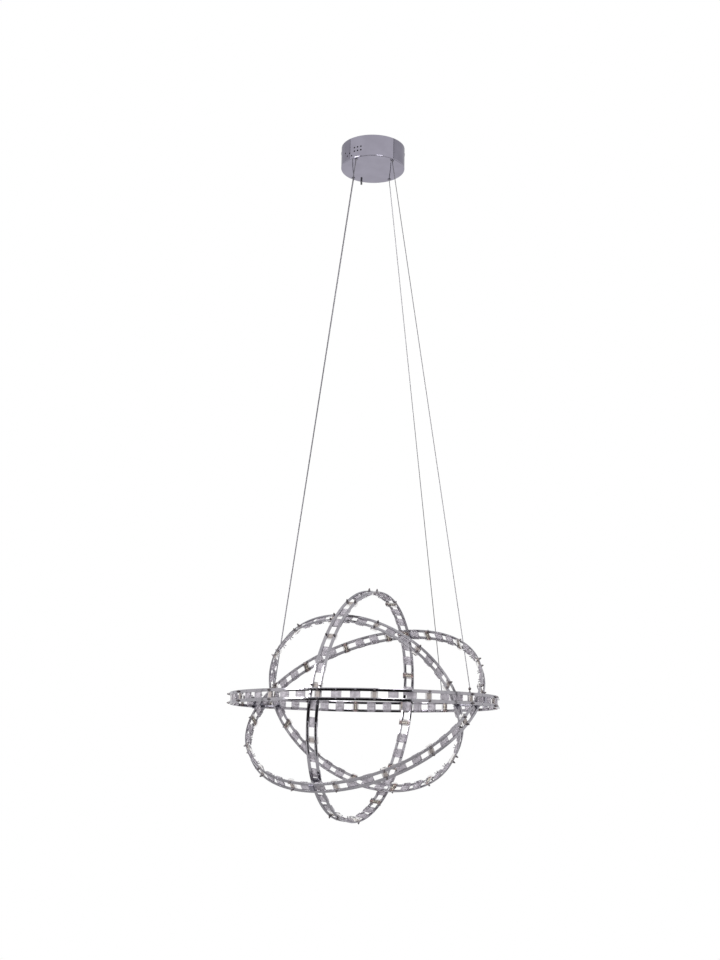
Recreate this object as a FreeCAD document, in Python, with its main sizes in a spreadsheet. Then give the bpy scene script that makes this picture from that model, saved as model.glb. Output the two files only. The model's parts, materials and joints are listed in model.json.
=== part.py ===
"""LED pendant light: four nested crystal rings hung from a round chrome ceiling canopy.

Millimetres, +Z up. The origin is the ceiling face at the canopy's centre, so the whole light hangs
below zero. The outer ring hangs level; the second, third and inner rings turn inside it on pins.
"""
import FreeCAD, Part
import Sketcher
import math
import os

V = FreeCAD.Vector
ORIGIN = V(0, 0, 0)
X_AXIS = V(1, 0, 0)
Y_AXIS = V(0, 1, 0)
Z_AXIS = V(0, 0, 1)
FULL_TURN = 360.0
HALF_TURN = 180.0
QUARTER_TURN = 90.0

# Driving dimensions, in millimetres and degrees
SIZES = {
    # Canopy against the ceiling
    "canopy_radius": 64.5,
    "canopy_height": 45.0,
    "canopy_wall": 1.0,
    "cut_overrun": 2.0,
    "canopy_edge": 1.2,
    "vent_radius": 1.7,
    "vent_top": 23.0,
    "vent_row_gap": 7.6,
    "vent_first_angle": 247.5,
    "vent_step_angle": 6.5,
    # Bracket screwed to the ceiling
    "bracket_width": 16.0,
    "bracket_thick": 1.5,
    "bracket_clear": 0.3,
    "lug_drop": 18.0,
    "ceiling_hole_gap": 80.0,
    "ceiling_hole_radius": 2.25,
    "mains_hole_radius": 5.0,
    # Side screws that hold the canopy to the bracket
    "screw_drop": 11.0,
    "screw_radius": 1.9,
    "screw_head_radius": 3.6,
    "screw_head_height": 0.5,
    "screw_length": 6.0,
    "screw_clear": 0.1,
    # Electrics that stand on the canopy floor
    "driver_length": 76.0,
    "driver_width": 30.0,
    "driver_height": 19.0,
    "driver_corner": 3.0,
    "terminal_length": 34.0,
    "terminal_width": 16.0,
    "terminal_height": 10.0,
    "terminal_hole_radius": 1.6,
    "receiver_length": 20.0,
    "receiver_width": 14.0,
    "receiver_height": 11.0,
    "receiver_x": 17.8,
    "receiver_inset": 16.0,
    "aerial_aside": 5.5,
    "aerial_beyond": 6.8,
    "aerial_radius": 2.0,
    "aerial_drop": 8.0,
    "aerial_clear": 0.2,
    # Grippers that clamp the suspension wires in the canopy floor
    "gripper_inset": 7.5,
    "gripper_stem_radius": 2.5,
    "gripper_stem_clear": 0.1,
    "gripper_barrel_height": 12.0,
    "gripper_collar_radius": 3.6,
    "gripper_collar_height": 1.4,
    "gripper_nut_radius": 4.6,
    "gripper_nut_height": 3.0,
    # Suspension wires and the studs that they end on
    "wire_radius": 0.75,
    "ring_drop": 1070.4,
    "stud_foot_radius": 2.1,
    "stud_foot_height": 1.0,
    "stud_neck_radius": 1.1,
    "stud_neck_height": 2.4,
    "stud_ball_radius": 2.6,
    "stud_top_radius": 1.2,
    # Rings: two flat rails each, with crystals and lamps across them
    "outer_radius": 250.0,
    "second_inset": 19.2,
    "third_inset": 17.8,
    "inner_inset": 19.9,
    "rail_width": 4.4,
    "rail_thick": 1.8,
    "rail_spacing": 16.0,
    "wide_pitch": 30.0,
    "narrow_pitch": 28.7,
    "crystal_width": 17.6,
    "crystal_height": 20.4,
    "crystal_girdle": 2.0,
    "crystal_crown": 3.0,
    "crystal_bevel": 3.4,
    "seat_clear": 0.02,
    "lamp_width": 12.2,
    "lamp_depth": 4.2,
    "lamp_corner": 2.4,
    "board_width": 6.8,
    "board_thick": 1.6,
    "peg_radius": 2.2,
    "peg_height": 4.4,
    # Turning of the rings, as the light hangs
    "pivot_angle": -29.75,
    "second_tilt": 40.1,
    "inner_tilt": -51.8,
    "third_tilt": -81.12,
    # Pivots between the rings
    "pin_radius": 1.5,
    "pin_running_clear": 0.05,
    "plate_width": 9.6,
    "plate_thick": 3.0,
    "plate_below_pin": 4.6,
    "block_width": 9.0,
    "block_depth": 5.0,
    "spacer_radius": 2.6,
    "end_play": 0.3,
    "nut_radius": 2.7,
    "nut_length": 3.2,
    "pin_tip": 0.8,
}

# Vent holes: steps round the wall from the first column, and rows down from the top one
VENT_PLACE_SHARES = [
    (0, 0),
    (1, 0),
    (2, 0),
    (0, 1),
    (1, 1),
    (2, 1),
    (3.0, 2.0),
    (3.7, 1.1),
    (4.7, 1.6),
    (5.7, 0.4),
]
# Grippers in the canopy floor, in quarter turns from +X
GRIPPER_PLACE_SHARES = {
    "front_right": -0.52,
    "back_right": 0.587,
    "back_left": 1.493,
    "front_left": -1.398,
}
# Wire studs on the outer ring, in quarter turns from the pivot axis
STUD_PLACE_SHARES = {
    "front_right": -0.142,
    "back_right": 0.896,
    "back_left": 1.85,
    "front_left": 2.906,
}
# Sizes that follow from others
DERIVED = {
    "gripper_circle": "canopy_radius - gripper_inset",
    "receiver_y": "canopy_radius - receiver_inset",
    "aerial_x": "receiver_x + aerial_aside",
    "aerial_y": "canopy_radius - receiver_inset + aerial_beyond",
    "second_radius": "outer_radius - second_inset",
    "third_radius": "outer_radius - second_inset - third_inset",
    "inner_radius": "outer_radius - second_inset - third_inset - inner_inset",
}
# One lamp and two crystals repeat round every ring
GROUP_ELEMENTS = 3
PEG_SIDES = 4
NUT_SIDES = 6
TURNED_SIDES = 8
TERMINAL_WAYS = 3

doc = FreeCAD.newDocument("LedPendant")
sheet = doc.addObject("Spreadsheet::Sheet", "Sizes")
for row, (alias, value) in enumerate(SIZES.items(), start=1):
    sheet.set(f"A{row}", alias)
    sheet.set(f"B{row}", str(value))
    sheet.setAlias(f"B{row}", alias)
for row, (alias, formula) in enumerate(DERIVED.items(), start=1):
    sheet.set(f"C{row}", f"={formula}")
    sheet.setAlias(f"C{row}", alias)
doc.recompute()

finished = []


def size(alias):
    """The value of one cell of the sheet."""
    return float(sheet.get(alias))


def worth(formula):
    """What a formula on bare aliases comes to."""
    sheet.set("D1", f"={formula}")
    sheet.recompute()
    return float(sheet.get("D1"))


def on_sheet(formula):
    """A formula on bare aliases, pointed at the sheet's cells."""
    words = formula.replace("(", " ( ").replace(")", " ) ").split()
    known = (*SIZES, *DERIVED)
    return " ".join(f"Sizes.{word}" if word in known else word for word in words)


def bind(target, formulas):
    """Tie properties of an object to formulas on the sheet."""
    for name, formula in formulas.items():
        target.setExpression(name, on_sheet(formula))
    return target


def keep(target, label, frame=None):
    """Mark an object as a finished sub-part, named as its file, in the frame of its ring."""
    target.Label = label
    if frame is not None:
        target.Placement = frame
    finished.append(target)
    return target


# Primitives and booleans


def at_place(target, place, turn):
    """Tie the three coordinates of an object's place to formulas, after its turn."""
    if turn is not None:
        target.Placement = FreeCAD.Placement(ORIGIN, turn)
    for axis, formula in zip("xyz", place):
        if formula != "0":
            target.setExpression(f"Placement.Base.{axis}", on_sheet(formula))
    return target


def rod(radius, length, place=("0", "0", "0"), turn=None):
    """A cylinder that starts at place and runs along its own turned Z."""
    solid = doc.addObject("Part::Cylinder", "Rod")
    bind(solid, {"Radius": radius, "Height": length})
    return at_place(solid, place, turn)


def prism(sides, radius, length, place=("0", "0", "0"), turn=None):
    """A regular prism that starts at place and runs along its own turned Z."""
    solid = doc.addObject("Part::Prism", "Prism")
    solid.Polygon = sides
    bind(solid, {"Circumradius": radius, "Height": length})
    return at_place(solid, place, turn)


def box(length, width, height, place):
    """A box whose least corner is at place."""
    solid = doc.addObject("Part::Box", "Box")
    bind(solid, {"Length": length, "Width": width, "Height": height})
    return at_place(solid, place, None)


def fused(parts):
    """Several objects as one solid."""
    union = doc.addObject("Part::MultiFuse", "Union")
    union.Shapes = parts
    union.Refine = True
    return union


def less(base, tools):
    """An object with one or more others cut away."""
    cut = doc.addObject("Part::Cut", "Cut")
    cut.Base = base
    cut.Tool = tools[0] if len(tools) == 1 else fused(tools)
    return cut


def gathered(shapes):
    """Separate solids as one object."""
    group = doc.addObject("Part::Feature", "Group")
    group.Shape = Part.makeCompound(shapes)
    return group


# Bodies from sketches


def outline_body(corners, plane_role):
    """A body holding one closed sketch whose corners are tied to pairs of formulas."""
    body = doc.addObject("PartDesign::Body", "Body")
    sketch = body.newObject("Sketcher::SketchObject", "Outline")
    plane = next(item for item in body.Origin.OriginFeatures if item.Role == plane_role)
    sketch.AttachmentSupport = [(plane, "")]
    sketch.MapMode = "FlatFace"
    count = len(corners)
    start = [V(worth(across), worth(along), 0) for across, along in corners]
    for number in range(count):
        sketch.addGeometry(Part.LineSegment(start[number], start[(number + 1) % count]), False)
    for number in range(count):
        sketch.addConstraint(Sketcher.Constraint("Coincident", number, 2, (number + 1) % count, 1))
    for number, (across, along) in enumerate(corners):
        tie_corner(sketch, number, "DistanceX", -2, across, start[number].x)
        tie_corner(sketch, number, "DistanceY", -1, along, start[number].y)
    doc.recompute()
    return body, sketch


def tie_corner(sketch, number, kind, axis, formula, start):
    """Hold one coordinate of a sketch corner, on the axis itself where the formula is zero."""
    if formula == "0":
        sketch.addConstraint(Sketcher.Constraint("PointOnObject", number, 1, axis))
        return
    index = sketch.addConstraint(Sketcher.Constraint(kind, -1, 1, number, 1, start))
    sketch.setExpression(f"Constraints[{index}]", on_sheet(formula))


def turned(corners):
    """A body turned about Z from its outline in the XZ plane."""
    body, sketch = outline_body(corners, "XZ_Plane")
    turn = body.newObject("PartDesign::Revolution", "Turn")
    turn.Profile = sketch
    turn.ReferenceAxis = (sketch, ["V_Axis"])
    turn.Angle = FULL_TURN
    doc.recompute()
    return body


def pressed(corners, plane_role, depth):
    """A body padded evenly to both sides of its outline."""
    body, sketch = outline_body(corners, plane_role)
    pad = body.newObject("PartDesign::Pad", "Pad")
    pad.Profile = sketch
    pad.Midplane = True
    bind(pad, {"Length": depth})
    doc.recompute()
    return body


# Places shared by several pieces


def polar(radius, degrees):
    """A point at zero height."""
    angle = math.radians(degrees)
    return V(radius * math.cos(angle), radius * math.sin(angle), 0)


# Grippers stand at these angles from +X, anticlockwise seen from above
GRIPPER_ANGLES = {name: share * QUARTER_TURN for name, share in GRIPPER_PLACE_SHARES.items()}
FLOOR_TOP = "canopy_wall - canopy_height"
OUTER_RING_LEVEL = -(size("canopy_height") + size("ring_drop"))
PIVOT_LEVEL = OUTER_RING_LEVEL - size("rail_spacing") / 2


def ring_frames():
    """The placement of each ring: X along its own pivot axis, Z square to its plane."""
    pivot = FreeCAD.Rotation(Z_AXIS, size("pivot_angle"))
    second = pivot.multiply(FreeCAD.Rotation(X_AXIS, size("second_tilt")))
    inner = pivot.multiply(FreeCAD.Rotation(X_AXIS, size("inner_tilt")))
    across = second.multiply(FreeCAD.Rotation(Z_AXIS, QUARTER_TURN))
    third = across.multiply(FreeCAD.Rotation(X_AXIS, size("third_tilt")))
    centre = V(0, 0, PIVOT_LEVEL)
    return {
        "outer": FreeCAD.Placement(V(0, 0, OUTER_RING_LEVEL), pivot),
        "pins": FreeCAD.Placement(centre, pivot),
        "second": FreeCAD.Placement(centre, second),
        "cross": FreeCAD.Placement(centre, across),
        "third": FreeCAD.Placement(centre, third),
        "inner": FreeCAD.Placement(centre, inner),
    }


FRAMES = ring_frames()
# Each ring's radius, its least pitch, the ring that sets the number of lamp groups and what
# that number divides by, and the place of the first lamp
RINGS = {
    "outer": ("outer_radius", "wide_pitch", "second_radius", 4, 1),
    "second": ("second_radius", "wide_pitch", "second_radius", 4, 1),
    "third": ("third_radius", "narrow_pitch", "inner_radius", 2, 2),
    "inner": ("inner_radius", "narrow_pitch", "inner_radius", 2, 1),
}


def half_turn_pair(shape):
    """A shape and its copy on the far side of the ring."""
    return [shape, shape.rotated(ORIGIN, Z_AXIS, HALF_TURN)]


# Canopy and what it holds


def canopy_cover():
    """A spun cup with a broken floor edge, vents in the wall and holes in the floor."""
    cup = turned(
        [
            ("0", "0 - canopy_height"),
            ("canopy_radius - canopy_edge", "0 - canopy_height"),
            ("canopy_radius", "canopy_edge - canopy_height"),
            ("canopy_radius", "0"),
            ("canopy_radius - canopy_wall", "0"),
            ("canopy_radius - canopy_wall", FLOOR_TOP),
            ("0", FLOOR_TOP),
        ]
    )
    tools = [wire_hole(angle) for angle in GRIPPER_ANGLES.values()]
    tools += [vent_hole(step, row) for step, row in VENT_PLACE_SHARES]
    tools.append(
        prism(
            TURNED_SIDES,
            "aerial_radius + aerial_clear",
            "canopy_wall + cut_overrun * 2",
            ("0 - aerial_x", "aerial_y", "0 - canopy_height - cut_overrun"),
        )
    )
    tools += [side_drill("screw_radius + screw_clear", side) for side in (0, HALF_TURN)]
    keep(less(cup, tools), "canopy_cover")


def wire_hole(angle):
    """The hole in the floor for one gripper's stem."""
    spot = polar(1, angle)
    return prism(
        TURNED_SIDES,
        "gripper_stem_radius + gripper_stem_clear",
        "canopy_wall + cut_overrun * 2",
        (
            f"gripper_circle * {spot.x:.6f}",
            f"gripper_circle * {spot.y:.6f}",
            "0 - canopy_height - cut_overrun",
        ),
    )


def vent_hole(step, row):
    """A hole drilled square through the wall."""
    angle = size("vent_first_angle") - step * size("vent_step_angle")
    turn = FreeCAD.Rotation(Z_AXIS, angle).multiply(FreeCAD.Rotation(Y_AXIS, QUARTER_TURN))
    spot = polar(1, angle)
    start = "( canopy_radius - canopy_wall - cut_overrun )"
    return prism(
        TURNED_SIDES,
        "vent_radius",
        "canopy_wall + cut_overrun * 2",
        (f"{start} * {spot.x:.6f}", f"{start} * {spot.y:.6f}", f"0 - vent_top - vent_row_gap * {row}"),
        turn,
    )


def side_drill(radius, side):
    """A drill along X through the wall and lug on one side, on the side screw's axis."""
    turn = FreeCAD.Rotation(Z_AXIS, side).multiply(FreeCAD.Rotation(Y_AXIS, QUARTER_TURN))
    sign = "" if side == 0 else "0 - "
    deep = "( canopy_wall + bracket_clear + bracket_thick + cut_overrun )"
    return prism(
        TURNED_SIDES,
        radius,
        f"{deep} + cut_overrun",
        (f"{sign}( canopy_radius - {deep} )", "0", "0 - screw_drop"),
        turn,
    )


def ceiling_bracket():
    """A bent strap against the ceiling, with two lugs down to the side screws."""
    wall = size("canopy_radius") - size("canopy_wall")
    flat = math.sqrt(wall**2 - (size("bracket_width") / 2) ** 2) / wall
    reach = f"( ( canopy_radius - canopy_wall ) * {flat:.6f} - bracket_clear )"
    strap = pressed(
        [
            (f"0 - {reach}", "0"),
            (f"0 - {reach}", "0 - lug_drop"),
            (f"bracket_thick - {reach}", "0 - lug_drop"),
            (f"bracket_thick - {reach}", "0 - bracket_thick"),
            (f"{reach} - bracket_thick", "0 - bracket_thick"),
            (f"{reach} - bracket_thick", "0 - lug_drop"),
            (reach, "0 - lug_drop"),
            (reach, "0"),
        ],
        "XZ_Plane",
        "bracket_width",
    )
    below = "0 - bracket_thick - cut_overrun"
    through = "bracket_thick + cut_overrun * 2"
    tools = [
        rod("ceiling_hole_radius", through, ("ceiling_hole_gap / 2", "0", below)),
        rod("ceiling_hole_radius", through, ("0 - ceiling_hole_gap / 2", "0", below)),
        rod("mains_hole_radius", through, ("0", "0", below)),
    ]
    tools += [side_drill("screw_radius + seat_clear", side) for side in (0, HALF_TURN)]
    keep(less(strap, tools), "ceiling_bracket")


def canopy_screws():
    """Two pan-head screws, head outside the wall and shank through the bracket's lug."""
    along = FreeCAD.Rotation(Y_AXIS, QUARTER_TURN)
    head = prism(
        TURNED_SIDES,
        "screw_head_radius",
        "screw_head_height",
        ("canopy_radius", "0", "0 - screw_drop"),
        along,
    )
    shank = prism(
        TURNED_SIDES,
        "screw_radius",
        "screw_length",
        ("canopy_radius - screw_length", "0", "0 - screw_drop"),
        along,
    )
    screw = fused([head, shank])
    doc.recompute()
    keep(gathered(half_turn_pair(screw.Shape)), "canopy_screws")


def led_driver():
    """The transformer's case, its long edges rounded, lying on the canopy floor."""
    case = box(
        "driver_length",
        "driver_width",
        "driver_height",
        ("0 - driver_length / 2", "0 - driver_width / 2", FLOOR_TOP),
    )
    doc.recompute()
    upright = [
        (number, size("driver_corner"), size("driver_corner"))
        for number, edge in enumerate(case.Shape.Edges, start=1)
        if abs(edge.Length - size("driver_height")) < size("seat_clear")
    ]
    rounded = doc.addObject("Part::Fillet", "DriverCase")
    rounded.Base = case
    rounded.Edges = upright
    keep(rounded, "led_driver")


def terminal_block():
    """A row of terminals on the driver, with a wire entry right through each."""
    base = f"{FLOOR_TOP} + driver_height"
    body = box(
        "terminal_length",
        "terminal_width",
        "terminal_height",
        ("0 - terminal_length / 2", "0 - terminal_width / 2", base),
    )
    entries = [
        prism(
            TURNED_SIDES,
            "terminal_hole_radius",
            "terminal_width + cut_overrun * 2",
            (
                f"terminal_length * {(way + 1) / (TERMINAL_WAYS + 1) - 0.5:.6f}",
                "terminal_width / 2 + cut_overrun",
                f"{base} + terminal_height / 2",
            ),
            FreeCAD.Rotation(X_AXIS, QUARTER_TURN),
        )
        for way in range(TERMINAL_WAYS)
    ]
    keep(less(body, entries), "terminal_block")


def remote_receiver():
    """The dimmer's receiver box and its short aerial through the floor."""
    case = box(
        "receiver_length",
        "receiver_width",
        "receiver_height",
        (
            "0 - receiver_x - receiver_length / 2",
            "receiver_y - receiver_width / 2",
            FLOOR_TOP,
        ),
    )
    keep(case, "remote_receiver")
    aerial = prism(
        TURNED_SIDES,
        "aerial_radius",
        "aerial_drop + canopy_wall",
        ("0 - aerial_x", "aerial_y", "0 - canopy_height - aerial_drop"),
    )
    keep(aerial, "receiver_aerial")


def wire_grippers():
    """A turned gripper per wire: collar under the floor, stem up through it, nut on top."""
    under = "0 - canopy_height - gripper_collar_height"
    collar = prism(TURNED_SIDES, "gripper_collar_radius", "gripper_collar_height", ("0", "0", under))
    stem = prism(
        TURNED_SIDES,
        "gripper_stem_radius",
        "gripper_collar_height + canopy_wall + gripper_barrel_height",
        ("0", "0", under),
    )
    gripper = fused([collar, stem])
    bore = prism(
        TURNED_SIDES,
        "gripper_stem_radius + seat_clear",
        "gripper_nut_height + cut_overrun * 2",
        ("0", "0", f"{FLOOR_TOP} - cut_overrun"),
    )
    nut = less(prism(NUT_SIDES, "gripper_nut_radius", "gripper_nut_height", ("0", "0", FLOOR_TOP)), [bore])
    doc.recompute()
    nuts = []
    for name, angle in GRIPPER_ANGLES.items():
        spot = polar(size("gripper_circle"), angle)
        keep(gathered([gripper.Shape.translated(spot)]), f"wire_gripper_{name}")
        nuts.append(nut.Shape.translated(spot))
    keep(gathered(nuts), "gripper_nuts")


# Suspension wires and studs


RAIL_TOP = "( rail_spacing + rail_width ) / 2"
STUD_HEIGHT = "stud_foot_height + stud_neck_height + stud_ball_radius * 2"


def wire_studs():
    """Foot, neck and ball in one, the ball cut flat where the wire meets it."""
    foot = prism(TURNED_SIDES, "stud_foot_radius", "stud_foot_height")
    neck = prism(TURNED_SIDES, "stud_neck_radius", "stud_foot_height + stud_neck_height")
    under = "stud_foot_height + stud_neck_height"
    lower = tapered("stud_neck_radius", "stud_ball_radius", "stud_ball_radius", under)
    upper = tapered("stud_ball_radius", "stud_top_radius", "stud_ball_radius", f"{under} + stud_ball_radius")
    stud = fused([foot, neck, lower, upper])
    doc.recompute()
    for name, share in STUD_PLACE_SHARES.items():
        spot = polar(size("outer_radius"), share * QUARTER_TURN) + V(0, 0, worth(RAIL_TOP))
        keep(gathered([stud.Shape.translated(spot)]), f"wire_stud_{name}", FRAMES["outer"])


def tapered(low, high, height, base):
    """An eight-sided taper that stands at a height: what two square ones share."""
    flat = math.cos(math.pi / TURNED_SIDES)
    upright = FreeCAD.Rotation(X_AXIS, QUARTER_TURN)
    both = []
    for turn in (HALF_TURN / TURNED_SIDES, HALF_TURN / TURNED_SIDES + FULL_TURN / TURNED_SIDES):
        square = doc.addObject("Part::Wedge", "Taper")
        sides = {"Ymax": height}
        for axis in "XZ":
            sides.update({f"{axis}min": f"0 - {low} * {flat:.8f}", f"{axis}max": f"{low} * {flat:.8f}"})
            sides.update({f"{axis}2min": f"0 - {high} * {flat:.8f}", f"{axis}2max": f"{high} * {flat:.8f}"})
        bind(square, sides)
        both.append(at_place(square, ("0", "0", base), FreeCAD.Rotation(Z_AXIS, turn).multiply(upright)))
    shared = doc.addObject("Part::MultiCommon", "Shared")
    shared.Shapes = both
    return shared


def suspension_wires():
    """A straight wire from each gripper to its stud, with level ends."""
    under = V(0, 0, -size("canopy_height") - size("gripper_collar_height"))
    above = V(0, 0, worth(f"{RAIL_TOP} + {STUD_HEIGHT}"))
    corners = [
        polar(size("wire_radius"), FULL_TURN * number / TURNED_SIDES)
        for number in range(TURNED_SIDES + 1)
    ]
    for name, angle in GRIPPER_ANGLES.items():
        top = polar(size("gripper_circle"), angle) + under
        seat = polar(size("outer_radius"), STUD_PLACE_SHARES[name] * QUARTER_TURN) + above
        outline = Part.makePolygon([top + corner for corner in corners])
        wire = Part.Face(outline).extrude(FRAMES["outer"].multVec(seat) - top)
        keep(gathered([wire]), f"suspension_wire_{name}")


# Rings


def element_count(ring):
    """How many crystals and lamps stand round a ring, leaving the pivots in gaps between them."""
    _, pitch, narrowest, multiple, _ = RINGS[ring]
    around = 2 * math.pi * size(narrowest)
    room = around / (GROUP_ELEMENTS * size(pitch))
    return int(room // multiple) * multiple * GROUP_ELEMENTS


def rails(ring, radius):
    """The upper and lower rail of one ring, with a flat behind each crystal and lamp."""
    flats = element_count(ring)
    corner = 1 / math.cos(math.pi / flats)
    for name, middle in (("upper", "rail_spacing / 2"), ("lower", "0 - rail_spacing / 2")):
        bottom = f"{middle} - rail_width / 2"
        band = less(
            prism(flats, f"( {radius} + rail_thick / 2 ) * {corner:.8f}", "rail_width", ("0", "0", bottom)),
            [
                prism(
                    flats,
                    f"( {radius} - rail_thick / 2 ) * {corner:.8f}",
                    "rail_width + cut_overrun * 2",
                    ("0", "0", f"{bottom} - cut_overrun"),
                )
            ],
        )
        keep(band, f"{ring}_{name}_rail", FRAMES[ring])


def flat_distance(ring):
    """How far from the ring's axis a flat back lies against a flat of the rails."""
    return size(RINGS[ring][0]) - size("rail_thick") / 2 - size("seat_clear")


def corner_distance(ring, width):
    """How far from the ring's axis a flat back of this width touches the rails beside a corner."""
    wall = size(RINGS[ring][0]) - size("rail_thick") / 2
    turn = math.pi / element_count(ring)
    return wall / math.cos(turn) - width / 2 * math.tan(turn) - size("seat_clear")


def crystal_blank():
    """One crystal with its back at X zero: a square girdle and a bevelled crown facing inwards."""
    girdle = box(
        "crystal_girdle",
        "crystal_width",
        "crystal_height",
        ("0 - crystal_girdle", "0 - crystal_width / 2", "0 - crystal_height / 2"),
    )
    crown = doc.addObject("Part::Wedge", "Crown")
    bind(
        crown,
        {
            "Xmin": "0 - crystal_width / 2",
            "Xmax": "crystal_width / 2",
            "Ymax": "crystal_crown",
            "Zmin": "0 - crystal_height / 2",
            "Zmax": "crystal_height / 2",
            "X2min": "crystal_bevel - crystal_width / 2",
            "X2max": "crystal_width / 2 - crystal_bevel",
            "Z2min": "crystal_bevel - crystal_height / 2",
            "Z2max": "crystal_height / 2 - crystal_bevel",
        },
    )
    at_place(crown, ("0 - crystal_girdle", "0", "0"), FreeCAD.Rotation(Z_AXIS, QUARTER_TURN))
    return fused([girdle, crown])


def lamp_blank():
    """One lamp's clear lens with its back at X zero, its two inner edges cut back."""
    half, cut = "lamp_width / 2", "lamp_corner"
    return pressed(
        [
            ("0", f"0 - {half}"),
            ("0", half),
            (f"{cut} - lamp_depth", half),
            ("0 - lamp_depth", f"{half} - {cut}"),
            ("0 - lamp_depth", f"{cut} - {half}"),
            (f"{cut} - lamp_depth", f"0 - {half}"),
        ],
        "XY_Plane",
        "crystal_height",
    )


def board_blank():
    """The strip of light-emitting diodes that stands between the rails and the lamp."""
    return box(
        "board_thick",
        "board_width",
        "crystal_height",
        ("0 - board_thick", "0 - board_width / 2", "0 - crystal_height / 2"),
    )


def peg_blanks():
    """The heads of a lamp's two contact pegs, bearing on the outside of both rails."""
    outwards = FreeCAD.Rotation(Y_AXIS, QUARTER_TURN)
    return [
        prism(PEG_SIDES, "peg_radius", "peg_height", ("0", "0", level), outwards)
        for level in ("rail_spacing / 2", "0 - rail_spacing / 2")
    ]


def ring_copies(shapes, distance, angles):
    """Copies of shapes, moved out from the ring's axis and turned to each angle."""
    moved = [shape.translated(V(distance, 0, 0)) for shape in shapes]
    return [shape.rotated(ORIGIN, Z_AXIS, angle) for angle in angles for shape in moved]


def ring_elements(ring, blanks):
    """The crystals, lamps, boards and contact pegs of one ring."""
    radius, *_, first_lamp = RINGS[ring]
    total = element_count(ring)
    step = FULL_TURN / total
    places = [step * (number + 0.5) for number in range(total)]
    lamps = [place for number, place in enumerate(places) if number % GROUP_ELEMENTS == first_lamp]
    crystals = [place for place in places if place not in lamps]
    seat = flat_distance(ring)
    lamp_seat = seat - size("board_thick") - size("seat_clear")
    outside = size(radius) + size("rail_thick") / 2 + size("seat_clear")
    frame = FRAMES[ring]
    keep(gathered(ring_copies(blanks["crystal"], seat, crystals)), f"{ring}_crystals", frame)
    keep(gathered(ring_copies(blanks["lamp"], lamp_seat, lamps)), f"{ring}_lamps", frame)
    keep(gathered(ring_copies(blanks["board"], seat, lamps)), f"{ring}_led_boards", frame)
    keep(gathered(ring_copies(blanks["pegs"], outside, lamps)), f"{ring}_lamp_pegs", frame)


# Pivots

INWARDS = FreeCAD.Rotation(Y_AXIS, -QUARTER_TURN)


def pin_inwards(start, length):
    """A round pin along -X from the distance start."""
    return rod("pin_radius", length, (start, "0", "0"), INWARDS)


def pin_bore(clear, start, length, level="0"):
    """The drill for a pin, from beyond the distance start, its flats this clear of the pin."""
    corner = 1 / math.cos(math.pi / TURNED_SIDES)
    return prism(
        TURNED_SIDES,
        f"( pin_radius + {clear} ) * {corner:.8f}",
        f"{length} + cut_overrun * 2",
        (f"{start} + cut_overrun", "0", level),
        INWARDS,
    )


def sleeve(radius, clear, start, length):
    """A six-sided sleeve on a pin, along -X from the distance start."""
    solid = prism(NUT_SIDES, radius, length, (start, "0", "0"), INWARDS)
    return less(solid, [pin_bore(clear, start, length)])


def pivot_block(radius, clear):
    """A block between a ring's two rails, bored for a pin."""
    height = "( rail_spacing - rail_width )"
    solid = box(
        "block_depth",
        "block_width",
        height,
        (f"{radius} - block_depth / 2", "0 - block_width / 2", f"0 - {height} / 2"),
    )
    return less(solid, [pin_bore(clear, f"{radius} + block_depth / 2", "block_depth")])


def pivot_plate():
    """A plate across the inside of the outer ring's rails, bored for the pin below its middle."""
    share = corner_distance("outer", size("plate_width")) / size("outer_radius")
    back = f"{share:.8f} * outer_radius"
    low = "( 0 - rail_spacing / 2 - plate_below_pin )"
    solid = box(
        "plate_thick",
        "plate_width",
        f"{RAIL_TOP} - {low}",
        (f"{back} - plate_thick", "0 - plate_width / 2", low),
    )
    bore = pin_bore("seat_clear", back, "plate_thick", "0 - rail_spacing / 2")
    return back, less(solid, [bore])


def keep_pair(blank, label, frame):
    """Both copies of a pivot piece, on opposite sides of the ring, as one sub-part."""
    keep(gathered(half_turn_pair(blank.Shape)), label, FRAMES[frame])


def keep_sides(blank, labels, frame):
    """The copies of a pivot piece on opposite sides as two sub-parts."""
    for shape, label in zip(half_turn_pair(blank.Shape), labels):
        keep(gathered([shape]), label, FRAMES[frame])


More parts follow.
